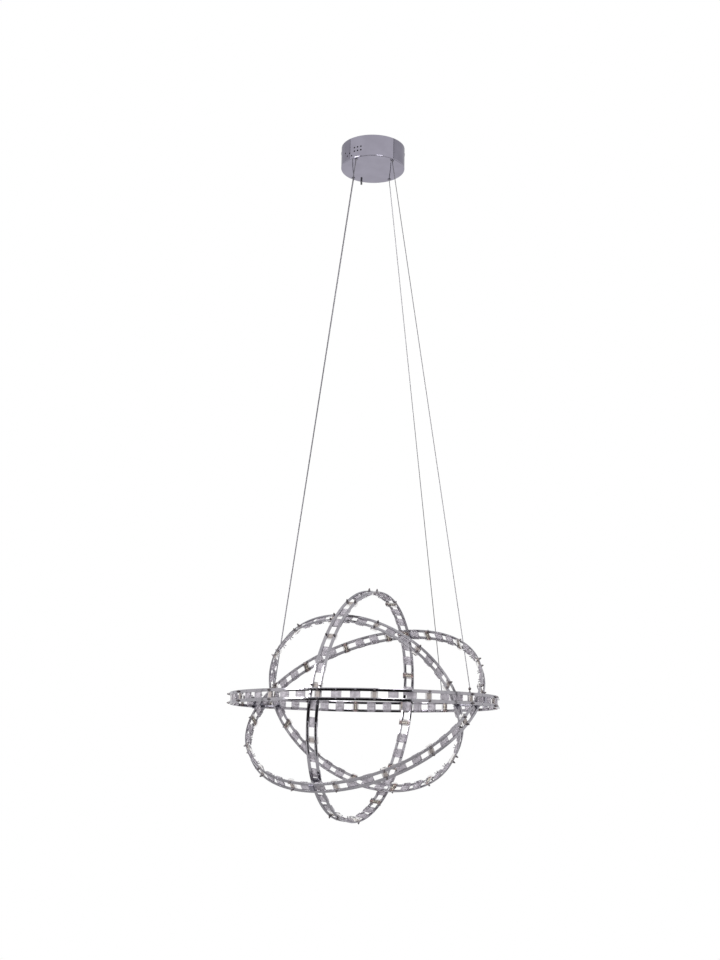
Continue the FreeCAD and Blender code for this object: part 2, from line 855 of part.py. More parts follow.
def pivots():
    """The long pins from the outer ring to the inner one, and the cross pins to the third."""
    back, plate = pivot_plate()
    ends = "nut_length + pin_tip"
    long_stop = "( inner_radius - block_depth / 2 - end_play )"
    cross_stop = "( third_radius - block_depth / 2 - end_play )"
    cross_start = "( second_radius + block_depth / 2 )"
    second_inside = "( second_radius - block_depth / 2 )"
    long_pin = pin_inwards(back, f"{back} - {long_stop} + {ends}")
    cross_pin = pin_inwards(cross_start, f"{cross_start} - {cross_stop} + {ends}")
    outer_gap = f"( {back} - plate_thick - second_radius - block_depth / 2 - end_play )"
    inner_gap = "( second_radius - inner_radius - block_depth - end_play * 2 )"
    cross_gap = "( second_radius - third_radius - block_depth - end_play )"
    outer_spacer = sleeve("spacer_radius", "pin_running_clear", f"{back} - plate_thick", outer_gap)
    inner_spacer = sleeve("spacer_radius", "pin_running_clear", f"{second_inside} - end_play", inner_gap)
    cross_spacer = sleeve("spacer_radius", "pin_running_clear", second_inside, cross_gap)
    long_nut = sleeve("nut_radius", "seat_clear", long_stop, "nut_length")
    cross_nut = sleeve("nut_radius", "seat_clear", cross_stop, "nut_length")
    second_bearing = pivot_block("second_radius", "pin_running_clear")
    second_cross = pivot_block("second_radius", "seat_clear")
    third_bearing = pivot_block("third_radius", "pin_running_clear")
    inner_bearing = pivot_block("inner_radius", "pin_running_clear")
    doc.recompute()
    keep_pair(plate, "outer_pivot_plates", "outer")
    keep_sides(long_pin, ("pivot_pin_right", "pivot_pin_left"), "pins")
    keep(
        gathered(half_turn_pair(outer_spacer.Shape) + half_turn_pair(inner_spacer.Shape)),
        "pivot_spacers",
        FRAMES["pins"],
    )
    keep_pair(long_nut, "pivot_end_nuts", "pins")
    keep_pair(second_bearing, "second_pivot_blocks", "second")
    keep_pair(second_cross, "second_cross_blocks", "cross")
    keep_sides(cross_pin, ("cross_pin_upper", "cross_pin_lower"), "cross")
    keep_pair(cross_spacer, "cross_spacers", "cross")
    keep_pair(cross_nut, "cross_end_nuts", "cross")
    keep_pair(third_bearing, "third_pivot_blocks", "third")
    keep_pair(inner_bearing, "inner_pivot_blocks", "inner")


def rings():
    """All four rings, from one set of blanks."""
    crystal, lamp, board = crystal_blank(), lamp_blank(), board_blank()
    pegs = peg_blanks()
    doc.recompute()
    blanks = {
        "crystal": [crystal.Shape],
        "lamp": [lamp.Shape],
        "board": [board.Shape],
        "pegs": [peg.Shape for peg in pegs],
    }
    for ring, (radius, *_) in RINGS.items():
        rails(ring, radius)
        ring_elements(ring, blanks)


def check():
    """Stop if any object failed, or a finished sub-part isn't a valid solid."""
    for item in doc.Objects:
        if "Invalid" in item.State or "Error" in item.State:
            raise RuntimeError(f"{item.Name} ({item.Label}) is {item.State}")
    for item in finished:
        if item.Shape.isNull() or not item.Shape.isValid() or not item.Shape.Solids:
            raise RuntimeError(f"{item.Label} has no valid solid")


canopy_cover()
ceiling_bracket()
canopy_screws()
led_driver()
terminal_block()
remote_receiver()
wire_grippers()
wire_studs()
suspension_wires()
rings()
pivots()
doc.recompute()
check()

os.makedirs("parts", exist_ok=True)
for item in finished:
    item.Shape.exportStep(f"parts/{item.Label}.step")
print(len(finished), "sub-parts written")
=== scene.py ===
"""Looks of the LED pendant light: four nested crystal rings under a round chrome canopy.

Metres, +Z up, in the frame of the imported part. The origin is the ceiling face at the canopy's centre.
"""
import json
import math

import bmesh
import bpy
from bpy.props import FloatProperty, FloatVectorProperty, IntProperty, PointerProperty
from mathutils import Matrix, Vector


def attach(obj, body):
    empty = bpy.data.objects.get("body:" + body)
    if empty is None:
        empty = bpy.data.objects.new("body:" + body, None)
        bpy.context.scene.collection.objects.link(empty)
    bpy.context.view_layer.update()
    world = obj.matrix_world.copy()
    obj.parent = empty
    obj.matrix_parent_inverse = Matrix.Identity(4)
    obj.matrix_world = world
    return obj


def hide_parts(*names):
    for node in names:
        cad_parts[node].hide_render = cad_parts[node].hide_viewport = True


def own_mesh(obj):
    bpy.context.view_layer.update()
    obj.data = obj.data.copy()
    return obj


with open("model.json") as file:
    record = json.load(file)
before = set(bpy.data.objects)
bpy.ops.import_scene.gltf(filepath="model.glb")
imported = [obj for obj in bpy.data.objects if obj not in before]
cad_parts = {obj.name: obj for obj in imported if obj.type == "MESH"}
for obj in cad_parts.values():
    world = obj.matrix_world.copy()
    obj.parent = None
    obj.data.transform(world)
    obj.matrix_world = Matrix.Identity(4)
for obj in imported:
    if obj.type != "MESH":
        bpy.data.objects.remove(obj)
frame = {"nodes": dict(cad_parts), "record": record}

bl_info = {
    "name": "Crystal ring pendant light",
    "version": (1, 0, 0),
    "blender": (4, 5, 0),
    "location": "View3D > Sidebar > Pendant",
    "description": "Builds the looks of a pendant light with four nested crystal rings",
    "category": "Object",
}

RING_NAMES = ("outer", "second", "third", "inner")
# One lamp and two crystals repeat round every ring: the lamp's number in each three, from zero
GROUP_ELEMENTS = 3
LAMP_PLACES = {"outer": 1, "second": 1, "third": 2, "inner": 1}
# Grippers in quarter turns from +X, and studs in quarter turns from the pivot axis
GRIPPER_SHARES = {"front_right": -0.52, "back_right": 0.587, "back_left": 1.493, "front_left": -1.398}
STUD_SHARES = {"front_right": -0.142, "back_right": 0.896, "back_left": 1.85, "front_left": 2.906}
# How far the left wires stand aside along X at their grippers, in shares of a wire's radius
WIRE_ASIDE_SHARES = {"front_left": -1, "back_left": 1}
# Vent holes in steps round the cover and rows down it, the last four out of line
VENT_PLACES = ((0, 0), (1, 0), (2, 0), (0, 1), (1, 1), (2, 1), (3, 2), (3.7, 1.1), (4.7, 1.6), (5.7, 0.4))
# A quarter turn in radians
QUARTER_TURN = math.pi / 2
# Turns a shape's axis from Z to X
SIDEWAYS = Matrix.Rotation(QUARTER_TURN, 4, "Y")
# Points nearer than this are one point, in a finished mesh and in a spun one
MERGE_DISTANCE = 1e-7
SPIN_MERGE_DISTANCE = 1e-6
# How the bevel operator cuts a flat or a rounded edge
FLAT_BEVEL = {"segments": 1, "profile": 0.5, "affect": "EDGES", "material": -1}
ROUND_BEVEL = {**FLAT_BEVEL, "segments": 4}


def length(label, default, description):
    """A property that holds one length in metres."""
    return FloatProperty(name=label, description=description, default=default, unit="LENGTH", precision=5)


def angle(label, default, description):
    """A property that holds one angle, given here in degrees."""
    return FloatProperty(
        name=label, description=description, default=math.radians(default), subtype="ANGLE"
    )


def tint(label, default, description):
    """A property that holds one linear colour."""
    return FloatVectorProperty(
        name=label, description=description, default=default, size=3, subtype="COLOR", min=0, max=1
    )


class PendantRings(bpy.types.PropertyGroup):
    """Radii, levels and turns of the four rings, as the CAD has them, and sizes of their rails."""

    outer: length("Outer radius", 0.25, "Middle of the outer ring's rails")
    second: length("Second radius", 0.2308, "Middle of the second ring's rails")
    third: length("Third radius", 0.213, "Middle of the third ring's rails")
    inner: length("Inner radius", 0.1931, "Middle of the inner ring's rails")
    outer_level: length("Outer ring level", -1.1154, "Height of the outer ring's middle")
    pivot_level: length("Pivot level", -1.1234, "Height of the pivot axes")
    pivot_angle: angle("Pivot angle", -29.75, "Turn of the long pins about Z")
    second_tilt: angle("Second tilt", 40.1, "Turn of the second ring on the long pins")
    inner_tilt: angle("Inner tilt", -51.8, "Turn of the inner ring on the long pins")
    third_tilt: angle("Third tilt", -81.12, "Turn of the third ring on the cross pins")
    wide_count: IntProperty(name="Wide count", description="Elements of the two wide rings", default=48)
    narrow_count: IntProperty(name="Narrow count", description="Elements of the other two", default=42)
    rail_thick: length("Rail thickness", 0.0018, "Radial thickness of a rail")
    rail_width: length("Rail width", 0.0056, "Width of a rail along the ring's axis")
    rail_spacing: length("Rail spacing", 0.016, "Distance between the middles of two rails")
    rail_edge: length("Rail edge", 0.0002, "Rounding of a rail's edges")
    rail_steps: IntProperty(name="Rail steps", description="Steps round a rail", default=240)


class PendantCanopy(bpy.types.PropertyGroup):
    """Sizes of the canopy's cover and its openings."""

    radius: length("Radius", 0.0645, "Outside radius")
    height: length("Height", 0.045, "Height below the ceiling")
    wall: length("Wall", 0.001, "Sheet thickness")
    edge: length("Edge", 0.0016, "Rounding of the floor's edge")
    steps: IntProperty(name="Steps", description="Steps round the cover", default=192)
    vent_radius: length("Vent radius", 0.0017, "Radius of a vent hole")
    vent_top: length("Vent top", 0.023, "Drop of the top row of vents")
    vent_gap: length("Vent gap", 0.0076, "Distance between rows of vents")
    vent_first: angle("First vent", 247.5, "Place of the first column of vents")
    vent_step: angle("Vent step", 6.5, "Turn between columns of vents")
    screw_drop: length("Screw drop", 0.011, "Drop of the side screws")
    screw_hole: length("Screw hole", 0.002, "Radius of a side screw's hole")
    screw_shank: length("Screw shank", 0.0019, "Radius of a side screw's shank")
    screw_depth: length("Screw depth", 0.0044, "How deep a side screw's shank shows inside")
    screw_head: length("Screw head", 0.0036, "Radius of a side screw's head")
    screw_dome: length("Screw dome", 0.0005, "Height of a side screw's head")
    aerial_x: length("Aerial X", -0.0233, "Place of the aerial")
    aerial_y: length("Aerial Y", 0.0553, "Place of the aerial")
    aerial_hole: length("Aerial hole", 0.0022, "Radius of the aerial's hole")
    aerial_radius: length("Aerial radius", 0.002, "Radius of the aerial")
    aerial_drop: length("Aerial drop", 0.008, "How far the aerial shows below the floor")


class PendantElements(bpy.types.PropertyGroup):
    """Sizes of the crystals, lamps and contact pegs."""

    height: length("Height", 0.0204, "Height of crystals and lamps across the rails")
    crystal_width: length("Crystal width", 0.0176, "Width along the ring")
    girdle: length("Girdle", 0.002, "Depth of a crystal's square part")
    crown: length("Crown", 0.003, "Depth of a crystal's cut part")
    bevel: length("Bevel", 0.0034, "Width of a crystal's sloping facets")
    corner: length("Corner", 0.0022, "Cut across a crystal's corners")
    hook_bend: length("Hook bend", 0.0052, "Radius of the curve of a hook on a crystal")
    hook_turn: angle("Hook turn", 52.0, "How far round its curve a hook runs")
    hook_aside: length("Hook aside", 0.0022, "Distance of a hook's root from a crystal's middle")
    hook_radius: length("Hook radius", 0.0008, "Radius of a hook's wire")
    rivet_radius: length("Rivet radius", 0.0012, "Radius of a rivet behind a crystal")
    rivet_rise: length("Rivet rise", 0.0005, "How far a rivet's head stands out from its rail")
    lamp_width: length("Lamp width", 0.0122, "Width of a lamp's lens")
    lamp_depth: length("Lamp depth", 0.0042, "Depth of a lamp's lens")
    lamp_corner: length("Lamp corner", 0.0024, "Cut on a lens's inner edges")
    board_width: length("Board width", 0.0068, "Width of a light-emitting board")
    board_thick: length("Board thickness", 0.0016, "Thickness of a board")
    seat: length("Seat", 0.00004, "Gap left between pieces that touch")
    pad: length("Pad", 0.0034, "Side of the solder pads at a board's ends")
    chip: length("Chip", 0.0024, "Side of a light-emitting chip")
    chip_rise: length("Chip rise", 0.0004, "How far chips and pads stand proud of the board")
    peg_foot: length("Peg foot", 0.0022, "Radius of a contact peg at its rail")
    peg_tip: length("Peg tip", 0.0009, "Radius of a contact peg at its tip")
    peg_reach: length("Peg reach", 0.0046, "How far a peg stands out from its rail")


class PendantWires(bpy.types.PropertyGroup):
    """Sizes of the suspension wires, their studs and grippers."""

    radius: length("Wire radius", 0.00075, "Radius of a suspension wire")
    circle: length("Gripper circle", 0.057, "Radius on which the grippers stand")
    stem_radius: length("Stem radius", 0.0025, "Radius of a gripper's stem")
    stem_hole: length("Stem hole", 0.0026, "Radius of a gripper's hole in the canopy's floor")
    stem_height: length("Stem height", 0.013, "Height of a gripper's stem above the canopy's underside")
    collar_radius: length("Collar radius", 0.0036, "Radius of a gripper's collar")
    collar_height: length("Collar height", 0.0014, "Height of a gripper's collar")
    foot_radius: length("Foot radius", 0.0021, "Radius of a stud's foot")
    foot_height: length("Foot height", 0.001, "Height of a stud's foot")
    neck_radius: length("Neck radius", 0.0011, "Radius of a stud's neck")
    neck_height: length("Neck height", 0.0024, "Height of a stud's neck")
    ball_radius: length("Ball radius", 0.0026, "Radius of a stud's ball")
    ball_top: angle("Ball top", 62.0, "Turn above the ball's middle where its flat top begins")


class PendantColours(bpy.types.PropertyGroup):
    """The two tones of each finish, of which the dull one shows as faint clouds, lines or grain."""

    canopy_chrome: tint("Canopy chrome", (0.335, 0.32, 0.385), "Plating of the cover and its screws")
    canopy_chrome_dull: tint("Canopy chrome, dull", (0.305, 0.29, 0.35), "Dull tone of that plating")
    polished_rail: tint("Polished rail", (0.375, 0.362, 0.39), "Plating of the rails")
    polished_rail_dull: tint("Polished rail, dull", (0.33, 0.32, 0.345), "Dull tone of that plating")
    hook_wire: tint("Hook wire", (0.34, 0.33, 0.35), "Wire of the crystals' hooks")
    hook_wire_dull: tint("Hook wire, dull", (0.28, 0.27, 0.29), "Dull tone of that wire")
    crystal_glass: tint("Crystal glass", (0.66, 0.63, 0.675), "Glass of the crystals")
    crystal_glass_dull: tint("Crystal glass, dull", (0.44, 0.415, 0.455), "Dull tone of that glass")
    lamp_clear: tint("Lamp, clear", (0.86, 0.85, 0.85), "Clear plastic of the lamps")
    lamp_clear_dull: tint("Lamp, clear, dull", (0.79, 0.78, 0.78), "Dull tone of that plastic")
    lamp_back: tint("Lamp back", (0.40, 0.38, 0.385), "Smoky backs of the lamps")
    lamp_back_dull: tint("Lamp back, dull", (0.30, 0.285, 0.29), "Dull tone of those backs")
    led_board: tint("Board", (0.40, 0.357, 0.34), "Boards in the lamps")
    led_board_dull: tint("Board, dull", (0.31, 0.277, 0.265), "Dull tone of the boards")
    light_chip: tint("Light chip", (0.42, 0.40, 0.33), "Chips on the boards")
    light_chip_dull: tint("Light chip, dull", (0.37, 0.35, 0.29), "Dull tone of the chips")
    solder_pad: tint("Solder pad", (0.20, 0.13, 0.13), "Pads at the boards' ends")
    solder_pad_dull: tint("Solder pad, dull", (0.14, 0.09, 0.09), "Dull tone of the pads")
    contact_peg: tint("Contact peg", (0.17, 0.155, 0.16), "Contact pegs and the wires' studs")
    contact_peg_dull: tint("Contact peg, dull", (0.12, 0.105, 0.11), "Dull tone of the pegs")
    pivot_steel: tint("Pivot steel", (0.30, 0.29, 0.33), "Pins, blocks, nuts, rivets and grippers")
    pivot_steel_dull: tint("Pivot steel, dull", (0.24, 0.23, 0.27), "Dull tone of that steel")
    wire_steel: tint("Wire steel", (0.17, 0.165, 0.18), "Suspension wires")
    wire_steel_dull: tint("Wire steel, dull", (0.13, 0.125, 0.14), "Dull tone of the wires")
    zinc_steel: tint("Zinc steel", (0.60, 0.61, 0.63), "Zinc plating of the ceiling bracket")
    zinc_steel_dull: tint("Zinc steel, dull", (0.50, 0.51, 0.53), "Dull tone of that plating")
    driver_case: tint("Driver case", (0.82, 0.82, 0.80), "Case of the driver")
    driver_case_dull: tint("Driver case, dull", (0.76, 0.76, 0.74), "Dull tone of that case")
    terminal_plastic: tint("Terminal plastic", (0.85, 0.85, 0.82), "Body of the terminal block")
    terminal_plastic_dull: tint("Terminal plastic, dull", (0.78, 0.78, 0.75), "Dull tone of that body")
    receiver_plastic: tint("Receiver plastic", (0.16, 0.16, 0.165), "Case and aerial of the receiver")
    receiver_plastic_dull: tint("Receiver plastic, dull", (0.13, 0.13, 0.135), "Dull tone of that case")


class PendantStage(bpy.types.PropertyGroup):
    """Camera, lights and floor."""

    distance: length("Camera distance", 2.5027, "Distance of the camera in front of the axis")
    level: length("Camera level", -1.2288, "Height of the camera")
    yaw: angle("Yaw", 0.34091, "Turn of the camera to the left")
    pitch: angle("Pitch", 12.09, "Upward turn of the camera")
    roll: angle("Roll", 1.014135, "Anticlockwise roll of the camera")
    lens: FloatProperty(name="Lens", description="Focal length", default=49.55, unit="CAMERA")
    film: FloatProperty(name="Film", description="Long side of the film", default=36.0, unit="CAMERA")
    floor_level: length("Floor level", -2.3, "Height of the floor")
    floor_size: length("Floor size", 6.0, "Length of the floor's sides")
    floor_tone: tint("Floor", (0.84, 0.84, 0.84), "Paint of the floor")
    floor_tone_dull: tint("Floor, dull", (0.80, 0.80, 0.80), "Dull tone of the floor")
    screen_radius: length("Screen radius", 3.6, "Distance of the screens from the axis")
    background: FloatProperty(name="Background", description="Brightness seen and mirrored", default=1.0)
    ambient: FloatProperty(name="Ambient", description="Brightness that lights matt surfaces", default=0.45)


GROUPS = {
    "pendant_rings": PendantRings,
    "pendant_canopy": PendantCanopy,
    "pendant_elements": PendantElements,
    "pendant_wires": PendantWires,
    "pendant_colours": PendantColours,
    "pendant_stage": PendantStage,
}


# Meshes


def finish_mesh(bm, name, *, smooth=35.0):
    """A new object in the scene from a bmesh, doubles merged, normals outward and edges sharp by angle."""
    bmesh.ops.remove_doubles(bm, verts=bm.verts, dist=MERGE_DISTANCE)
    bmesh.ops.recalc_face_normals(bm, faces=bm.faces)
    mesh = bpy.data.meshes.new(name)
    bm.to_mesh(mesh)
    bm.free()
    mesh.shade_smooth()
    mesh.set_sharp_from_angle(angle=math.radians(smooth))
    piece = bpy.data.objects.new(name, mesh)
    bpy.context.scene.collection.objects.link(piece)
    return piece


def spun(points, steps):
    """A bmesh spun about Z from (radius, height) points; a point on the axis closes the shape."""
    bm = bmesh.new()
    verts = [bm.verts.new((radius, 0, height)) for radius, height in points]
    edges = [bm.edges.new(pair) for pair in zip(verts, verts[1:])]
    bmesh.ops.spin(
        bm,
        geom=verts + edges,
        cent=(0, 0, 0),
        axis=(0, 0, 1),
        angle=math.tau,
        steps=steps,
        use_merge=True,
    )
    bmesh.ops.remove_doubles(bm, verts=bm.verts, dist=SPIN_MERGE_DISTANCE)
    bmesh.ops.recalc_face_normals(bm, faces=bm.faces)
    return bm


def rounded_corner(corner, inwards, radius, steps=3):
    """Points of an arc that rounds a corner whose two sides leave it along the signs inwards."""
    side_x, side_y = inwards
    points = []
    for number in range(steps + 1):
        turn = QUARTER_TURN * number / steps
        along, up = 1 - math.cos(turn), 1 - math.sin(turn)
        points.append((corner[0] + side_x * radius * along, corner[1] + side_y * radius * up))
    return points


def add_copy(target, source, matrix):
    """Add a copy of one bmesh, moved by a matrix, to another."""
    mesh = bpy.data.meshes.new("copy")
    source.to_mesh(mesh)
    mesh.transform(matrix)
    target.from_mesh(mesh)
    bpy.data.meshes.remove(mesh)


def block(size, centre):
    """A bmesh box."""
    bm = bmesh.new()
    bmesh.ops.create_cube(bm, size=1, matrix=Matrix.Translation(centre) @ Matrix.Diagonal((*size, 1)))
    return bm


def end_face(bm, way):
    """The face at a shape's end along X, on the positive side for a way of 1 and the negative for -1."""
    return max(bm.faces, key=lambda face: face.calc_center_median().x * way)


def edges_along(bm, axis, shortest):
    """The edges that reach further than this along an axis, given by its number."""
    return [edge for edge in bm.edges if abs(edge.verts[0].co[axis] - edge.verts[1].co[axis]) > shortest]


# Places


def on_circle(turn, radius, height=0.0):
    """The place at this turn about Z, radius and height, its X outwards."""
    return Matrix.Rotation(turn, 4, "Z") @ Matrix.Translation((radius, 0, height))


def ring_matrix(name):
    """The frame of a ring: X along its own pivot axis, Z square to its plane."""
    sizes = bpy.context.scene.pendant_rings
    pivot = Matrix.Rotation(sizes.pivot_angle, 4, "Z")
    if name == "outer":
        return Matrix.Translation((0, 0, sizes.outer_level)) @ pivot
    pivot = Matrix.Translation((0, 0, sizes.pivot_level)) @ pivot
    if name == "inner":
        return pivot @ Matrix.Rotation(sizes.inner_tilt, 4, "X")
    second = pivot @ Matrix.Rotation(sizes.second_tilt, 4, "X")
    if name == "second":
        return second
    return second @ Matrix.Rotation(QUARTER_TURN, 4, "Z") @ Matrix.Rotation(sizes.third_tilt, 4, "X")


def ring_radius(name):
    """The radius of a ring's rails, at the middle of their thickness."""
    return getattr(bpy.context.scene.pendant_rings, name)


def element_turns(name):
    """Turns of the lamps and of the crystals round a ring, in radians."""
    sizes = bpy.context.scene.pendant_rings
    total = sizes.wide_count if name in ("outer", "second") else sizes.narrow_count
    lamps, crystals = [], []
    for number in range(total):
        kind = lamps if number % GROUP_ELEMENTS == LAMP_PLACES[name] else crystals
        kind.append(math.tau * (number + 0.5) / total)
    return lamps, crystals


def outside_radius(name):
    """Radius of the outside of a ring's rails."""
    return ring_radius(name) + bpy.context.scene.pendant_rings.rail_thick / 2


def seat_radius(name, width):
    """How far from the ring's axis a flat back of this width touches the rails' inner faces."""
    sizes = bpy.context.scene.pendant_rings
    wall = ring_radius(name) - sizes.rail_thick / 2
    return math.sqrt(wall**2 - (width / 2) ** 2) - bpy.context.scene.pendant_elements.seat


def round_ring(name, blank, radius, turns, label):
    """One object with a copy of a blank at each turn round a ring."""
    target = bmesh.new()
    place = ring_matrix(name)
    for turn in turns:
        add_copy(target, blank, place @ on_circle(turn, radius))
    return finish_mesh(target, label, smooth=20.0)


def settle(piece, body, slot, look, *nodes):
    """Give a piece its material and body, and put it in the place of its CAD nodes; the slot is not used."""
    piece.data.materials.append(look)
    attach(piece, body)
    if nodes:
        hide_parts(*nodes)
    return piece


# Materials


def node_material(name):
    """A node material's tree, its shader and its object coordinates."""
    look = bpy.data.materials.new(name)
    look.use_nodes = True
    tree = look.node_tree
    shader = tree.nodes["Principled BSDF"]
    coordinates = tree.nodes.new("ShaderNodeTexCoord").outputs["Object"]
    return look, tree, shader, coordinates


def noise(tree, coordinates, scale, detail=2.0):
    """A noise texture's value."""
    texture = tree.nodes.new("ShaderNodeTexNoise")
    texture.inputs["Scale"].default_value = scale
    texture.inputs["Detail"].default_value = detail
    tree.links.new(coordinates, texture.inputs["Vector"])
    return texture.outputs["Fac"]


def spread(tree, value, low, high, least=0.3, most=0.7):
    """A value spread over a range."""
    node = tree.nodes.new("ShaderNodeMapRange")
    node.inputs["From Min"].default_value = least
    node.inputs["From Max"].default_value = most
    node.inputs["To Min"].default_value = low
    node.inputs["To Max"].default_value = high
    tree.links.new(value, node.inputs["Value"])
    return node.outputs["Result"]


def two_tones(tree, value, first, second, low=0.35, high=0.65):
    """A colour between two tones, by a value."""
    ramp = tree.nodes.new("ShaderNodeValToRGB")
    ramp.color_ramp.elements[0].position = low
    ramp.color_ramp.elements[1].position = high
    ramp.color_ramp.elements[0].color = (*first, 1)
    ramp.color_ramp.elements[1].color = (*second, 1)
    tree.links.new(value, ramp.inputs["Fac"])
    return ramp.outputs["Color"]


def bump(tree, value, shader, strength, distance):
    """Bump a shader by a value."""
    node = tree.nodes.new("ShaderNodeBump")
    node.inputs["Strength"].default_value = strength
    node.inputs["Distance"].default_value = distance
    tree.links.new(value, node.inputs["Height"])
    tree.links.new(node.outputs["Normal"], shader.inputs["Normal"])


def polished_look(name, tone, dull, rough):
    """Polished plating with faint wiping marks and small changes of tone."""
    look, tree, shader, place = node_material(name)
    shader.inputs["Metallic"].default_value = 1.0
    shader.inputs["Specular Tint"].default_value = (0.78, 0.78, 0.80, 1)
    cloud = noise(tree, place, scale=38.0, detail=3.0)
    tree.links.new(two_tones(tree, cloud, dull, tone), shader.inputs["Base Color"])
    wiping = noise(tree, place, scale=420.0)
    tree.links.new(spread(tree, wiping, rough * 0.7, rough * 1.5), shader.inputs["Roughness"])
    ripple = noise(tree, place, scale=160.0, detail=1.0)
    bump(tree, ripple, shader, strength=0.06, distance=0.0002)
    return look


def glass_look(name, tone, dull, rough, ior, clear=1.0):
    """Cut glass or moulded clear plastic with faint clouding, milky where it isn't quite clear."""
    look, tree, shader, place = node_material(name)
    shader.inputs["Transmission Weight"].default_value = clear
    shader.inputs["IOR"].default_value = ior
    cloud = noise(tree, place, scale=150.0)
    tree.links.new(two_tones(tree, cloud, dull, tone), shader.inputs["Base Color"])
    haze = noise(tree, place, scale=600.0)
    tree.links.new(spread(tree, haze, rough * 0.5, rough * 1.6), shader.inputs["Roughness"])
    return look


def plastic_look(name, tone, dull, rough):
    """Moulded plastic with a fine grain."""
    look, tree, shader, place = node_material(name)
    cloud = noise(tree, place, scale=60.0)
    tree.links.new(two_tones(tree, cloud, dull, tone), shader.inputs["Base Color"])
    grain = noise(tree, place, scale=900.0)
    tree.links.new(spread(tree, grain, rough * 0.8, rough * 1.2), shader.inputs["Roughness"])
    bump(tree, grain, shader, strength=0.25, distance=0.0001)
    return look


def steel_look(name, tone, dull, rough, stretch=(1.0, 1.0, 12.0)):
    """Turned or drawn steel with fine lines."""
    look, tree, shader, place = node_material(name)
    shader.inputs["Metallic"].default_value = 1.0
    mapping = tree.nodes.new("ShaderNodeMapping")
    mapping.inputs["Scale"].default_value = stretch
    tree.links.new(place, mapping.inputs["Vector"])
    lines = noise(tree, mapping.outputs["Vector"], scale=500.0, detail=3.0)
    tree.links.new(two_tones(tree, lines, dull, tone), shader.inputs["Base Color"])
    tree.links.new(spread(tree, lines, rough * 0.7, rough * 1.4), shader.inputs["Roughness"])
    bump(tree, lines, shader, strength=0.15, distance=0.00005)
    return look


def floor_look(sizes):
    """Pale matt floor with a very faint grain."""
    look, tree, shader, place = node_material("floor_paint")
    shader.inputs["Roughness"].default_value = 0.9
    cloud = noise(tree, place, scale=6.0, detail=4.0)
    tone = two_tones(tree, cloud, sizes.floor_tone_dull, sizes.floor_tone)
    tree.links.new(tone, shader.inputs["Base Color"])
    bump(tree, noise(tree, place, scale=300.0), shader, strength=0.05, distance=0.0005)
    return look


# The look and the settings of each finish, whose two tones are properties
FINISHES = {
    "canopy_chrome": (polished_look, {"rough": 0.06}),
    "polished_rail": (polished_look, {"rough": 0.10}),
    "hook_wire": (polished_look, {"rough": 0.25}),
    "crystal_glass": (glass_look, {"rough": 0.12, "ior": 1.14, "clear": 0.6}),
    "lamp_clear": (glass_look, {"rough": 0.02, "ior": 1.08}),
    "lamp_back": (glass_look, {"rough": 0.10, "ior": 1.08}),
    "led_board": (plastic_look, {"rough": 0.5}),
    "light_chip": (plastic_look, {"rough": 0.3}),
    "solder_pad": (plastic_look, {"rough": 0.4}),
    "contact_peg": (polished_look, {"rough": 0.30}),
    "pivot_steel": (steel_look, {"rough": 0.25}),
    "wire_steel": (steel_look, {"rough": 0.30}),
    "zinc_steel": (steel_look, {"rough": 0.35, "stretch": (6.0, 1.0, 1.0)}),
    "driver_case": (plastic_look, {"rough": 0.5}),
    "terminal_plastic": (plastic_look, {"rough": 0.35}),
    "receiver_plastic": (plastic_look, {"rough": 0.45}),
}
# The materials that the first step makes, by their finish
LOOKS = {}


class PENDANT_OT_looks(bpy.types.Operator):
    """Build the materials and give each CAD node the one of its slot."""

    bl_idname = "pendant.looks"
    bl_label = "Materials"

    def execute(self, context):
        colours = context.scene.pendant_colours
        for name, (make, settings) in FINISHES.items():
            LOOKS[name] = make(name, getattr(colours, name), getattr(colours, f"{name}_dull"), **settings)
        for part in frame["record"]["subparts"]:
            node = frame["nodes"].get(part["node"])
            if node is None:
                raise RuntimeError(f"the frame has no node {part['node']}")
            node.data.materials.clear()
            node.data.materials.append(LOOKS[part["material_slot"]])
        return {"FINISHED"}


# Canopy


def cover_outline(sizes):
    """The cover's section: floor, rounded edge and wall outside, then back along the inside."""
    radius, height, wall = sizes.radius, sizes.height, sizes.wall
    outside = rounded_corner((radius, -height), (-1, 1), sizes.edge, steps=6)
    inside = rounded_corner((radius - wall, wall - height), (-1, 1), sizes.edge - wall * 0.6, steps=4)
    outline = [(0, -height), (radius / 2, -height), *reversed(outside), (radius, -height / 2), (radius, 0)]
    outline += [(radius - wall, 0), (radius - wall, -height / 2), *inside]
    outline += [(radius / 2, wall - height), (0, wall - height)]
    return outline


def canopy_drills(sizes, wires):
    """One bmesh of all the drills that open the cover."""
    drills = bmesh.new()

    def drill(radius, place):
        """Add a drill, its middle at the place and its axis along the place's Z."""
        bmesh.ops.create_cone(
            drills,
            cap_ends=True,
            segments=32,
            radius1=radius,
            radius2=radius,
            depth=sizes.wall * 6,
            matrix=place,
        )

    for step, row in VENT_PLACES:
        turn = sizes.vent_first - step * sizes.vent_step
        level = -sizes.vent_top - row * sizes.vent_gap
        drill(sizes.vent_radius, on_circle(turn, sizes.radius, level) @ SIDEWAYS)
    for turn in (0, math.pi):
        drill(sizes.screw_hole, on_circle(turn, sizes.radius, -sizes.screw_drop) @ SIDEWAYS)
    for share in GRIPPER_SHARES.values():
        drill(wires.stem_hole, on_circle(share * QUARTER_TURN, wires.circle, -sizes.height))
    drill(sizes.aerial_hole, Matrix.Translation((sizes.aerial_x, sizes.aerial_y, -sizes.height)))
    return drills


